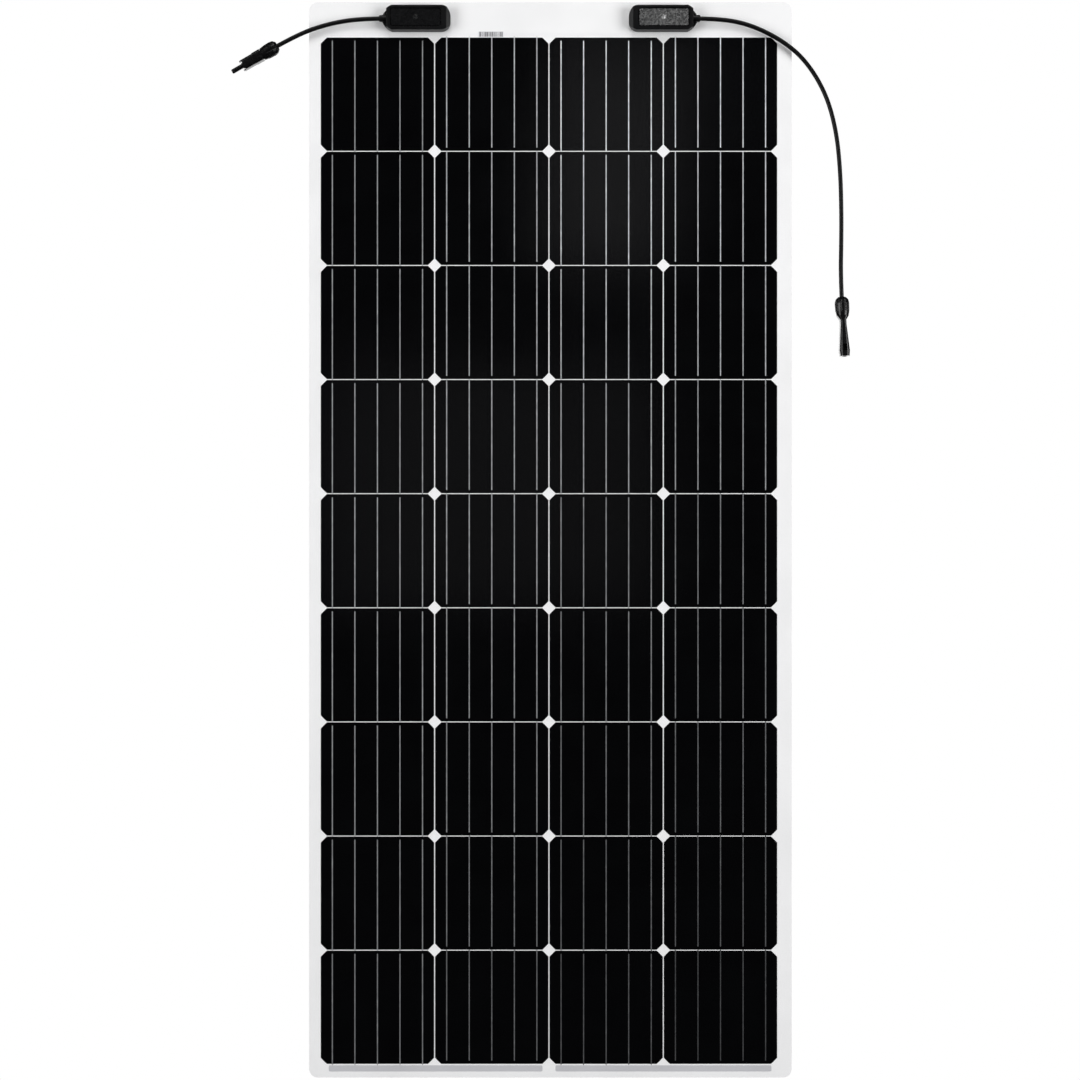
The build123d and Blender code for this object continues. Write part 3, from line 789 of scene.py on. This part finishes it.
def make_buses():
    """The wide ribbons at each end, which the sheet's white inner layer half hides."""
    z = (CELL_BASE + LIFT, CELL_BASE + LIFT + BUS_THICK)
    for node, body, look in (
        ("top_bus_ribbons", "strip_1", "hidden_bus"),
        ("bottom_bus_ribbons", "strip_5", "covered_bus"),
    ):
        low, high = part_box(node)
        if body == "strip_1":
            edges = [(low.x, high.x)]
            band = (FIELD_TOP + TOP_BUS_BAND[0], FIELD_TOP + TOP_BUS_BAND[1])
        else:
            middle = cell_centre(1, 0)[0] + CELL / 2 + COLUMN_GAP / 2
            edges = [(low.x, middle - BUS_HALF_BREAK), (middle + BUS_HALF_BREAK, high.x)]
            band = (low.y, high.y)
        centre_y = (band[0] + band[1]) / 2
        bars = [((a + b) / 2, centre_y, b - a, band[1] - band[0]) for a, b in edges]
        piece = shown(node + "_covered", flat_bars(bars, z), [look])
        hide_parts(node)
        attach(piece, body)


def make_lid_marks():
    """A round insert in the recess at the middle of each lid, slightly domed."""
    for side in ("left", "right"):
        low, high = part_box(f"{side}_box_lid")
        bm = bmesh.new()
        bmesh.ops.create_uvsphere(bm, u_segments=40, v_segments=20, radius=1.0)
        bmesh.ops.bisect_plane(
            bm, geom=everything(bm), plane_co=(0, 0, 0), plane_no=(0, 0, 1), clear_inner=True
        )
        edges = [edge for edge in bm.edges if edge.is_boundary]
        bmesh.ops.edgeloop_fill(bm, edges=edges)
        floor_z = high.z - MARK_DEPTH
        grown = Matrix.Diagonal((MARK_R, MARK_R, MARK_RISE, 1))
        middle = Vector(((low.x + high.x) / 2, (low.y + high.y) / 2, floor_z))
        bm.transform(Matrix.Translation(middle) @ grown)
        mark = shown(f"{side}_lid_mark", bm, ["mark"])
        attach(mark, f"{side}_lid")


def make_label():
    """A generic serial label: plain bars on a pale film, just above the cells."""
    low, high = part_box("serial_label")
    bottom = FIELD_TOP + LABEL_GAP
    height = high.y - bottom
    centre = ((low.x + high.x) / 2, (high.y + bottom) / 2)
    z = (LABEL_BASE, LABEL_BASE + 2 * LIFT)
    outline = rounded_rectangle(high.x - low.x, height, LABEL_CORNER_R, 3)
    base = plate([(centre[0] + x, centre[1] + y) for x, y in outline], z)
    piece = shown("serial_label_film", base, ["label"])
    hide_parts("serial_label")
    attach(piece, "strip_1")
    draw = random.Random(LABEL_SEED)
    bars = []
    bar_y = centre[1] + LABEL_INK_RISE
    bar_height = height - LABEL_INK_BORDER
    x = low.x + LABEL_INK_START
    while x < high.x - LABEL_INK_END:
        width = draw.choice(LABEL_BAR_WIDTHS) * MM
        bars.append((x + width / 2, bar_y, width, bar_height))
        x += width + draw.choice(LABEL_BAR_GAPS) * MM
    ink = shown("serial_label_bars", flat_bars(bars, (z[1] + LIFT, z[1] + 2 * LIFT)), ["label_ink"])
    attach(ink, "strip_1")


# ------------------------------------------------------------------------------ camera and cables


def make_camera():
    camera = bpy.data.objects.new("camera", bpy.data.cameras.new("camera"))
    bpy.context.scene.collection.objects.link(camera)
    camera.location = (CAMERA_X, 0, SHEET_TOP + CAMERA_HEIGHT)
    camera.data.sensor_width = SENSOR
    camera.data.lens = SENSOR * CAMERA_HEIGHT / VIEW_HEIGHT
    camera.data.clip_start = 0.05
    camera.data.clip_end = 60.0
    bpy.context.scene.camera = camera


def make_cable(name, facts):
    x, y, heading = facts["connector"]
    way = (math.cos(math.radians(heading)), math.sin(math.radians(heading)))
    into = [
        (x + along * way[0], y + along * way[1], CONNECTOR_Z)
        for along in (-APPROACH, CABLE_END)
    ]
    points = facts["points"] + into
    curve = bpy.data.curves.new(name, "CURVE")
    curve.dimensions = "3D"
    curve.resolution_u = 12
    curve.bevel_depth = CABLE_D / 2
    curve.bevel_resolution = 6
    curve.use_fill_caps = True
    spline = curve.splines.new("NURBS")
    spline.points.add(len(points) - 1)
    for point, place_at in zip(spline.points, points):
        point.co = (*place_at, 1)
    spline.order_u = 3
    spline.use_endpoint_u = True
    curve.materials.append(materials["jacket"])
    cable = bpy.data.objects.new(name, curve)
    bpy.context.scene.collection.objects.link(cable)
    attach(cable, "strip_1")
    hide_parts(facts["node"])
    pieces = [node for node_name, node in nodes.items() if facts["end"] + "_" in node_name]
    if facts["end"] == "probe":
        pieces += [nodes["latch_finger_a"], nodes["latch_finger_b"]]


# ------------------------------------------------------------------------------ light


def softbox(name, place_at, size, power, aim=(0, 0, 0), only=(), never=()):
    """A soft rectangular light, which may light only some pieces or leave some out."""
    data = bpy.data.lights.new(name, "AREA")
    data.shape = "RECTANGLE"
    data.size, data.size_y = size
    data.energy = power
    light = bpy.data.objects.new(name, data)
    light.location = place_at
    way = Vector(aim) - Vector(place_at)
    light.rotation_euler = way.to_track_quat("-Z", "Y").to_euler()
    light.visible_camera = False
    bpy.context.scene.collection.objects.link(light)
    if only or never:
        linked = bpy.data.collections.new(f"{name}_receivers")
        for piece in (*only, *never):
            linked.objects.link(piece)
        if never:
            for entry in linked.collection_objects:
                entry.light_linking.link_state = "EXCLUDE"
        light.light_linking.receiver_collection = linked


def make_light():
    """Three large softboxes, one below, and three small lights placed for their reflections.

    The film mirrors none of the large ones, which keeps the sheet readable from low angles.
    """
    right_lid = (nodes["right_box_lid"], bpy.data.objects["right_lid_mark"])
    films = [piece for piece in bpy.data.objects if piece.name.startswith("clear_film_stretch")]
    softbox("key", (0.0, 3.8, 2.6), (4.0, 1.8), 100, never=films)
    softbox("left", (-3.6, 0.0, 2.4), (3.0, 1.8), 132, never=films)
    softbox("right", (3.6, 0.0, 2.4), (3.0, 1.8), 160, never=films)
    softbox("under", (0.0, 0.0, -3.0), (3.2, 3.2), 90)
    softbox("glint", (0.19, 1.10, 2.4), (0.36, 0.62), 0.24, (0.1, 0.5, 0))
    softbox("haze", (-0.15, 0.16, 2.4), (0.95, 0.68), 0.26, (-0.15, 0.1, 0))
    softbox("lid_glint", (0.33, 1.52, 2.4), (0.34, 0.2), 7.8, (0.156, 0.72, 0), right_lid)
    world = bpy.data.worlds.new("studio")
    world.use_nodes = True
    tree = world.node_tree
    tree.nodes.clear()
    path = add(tree, "LightPath")
    backdrop = add(tree, "Background", Color=(1, 1, 1, 1), Strength=1.0)
    dim = add(tree, "Background", Color=(0.9, 0.95, 1, 1), Strength=0.015)
    both = add(tree, "MixShader")
    tree.links.new(path.outputs["Is Camera Ray"], both.inputs[0])
    tree.links.new(dim.outputs["Background"], both.inputs[1])
    tree.links.new(backdrop.outputs["Background"], both.inputs[2])
    add(tree, "OutputWorld", Surface=both.outputs["Shader"])
    bpy.context.scene.world = world
    bpy.context.scene.view_settings.view_transform = "Standard"


make_camera()
for cable_name, cable_facts in CABLES.items():
    make_cable(cable_name, cable_facts)
make_layers()
make_cells()
make_ribbons()
make_buses()
make_label()
make_lid_marks()
make_light()
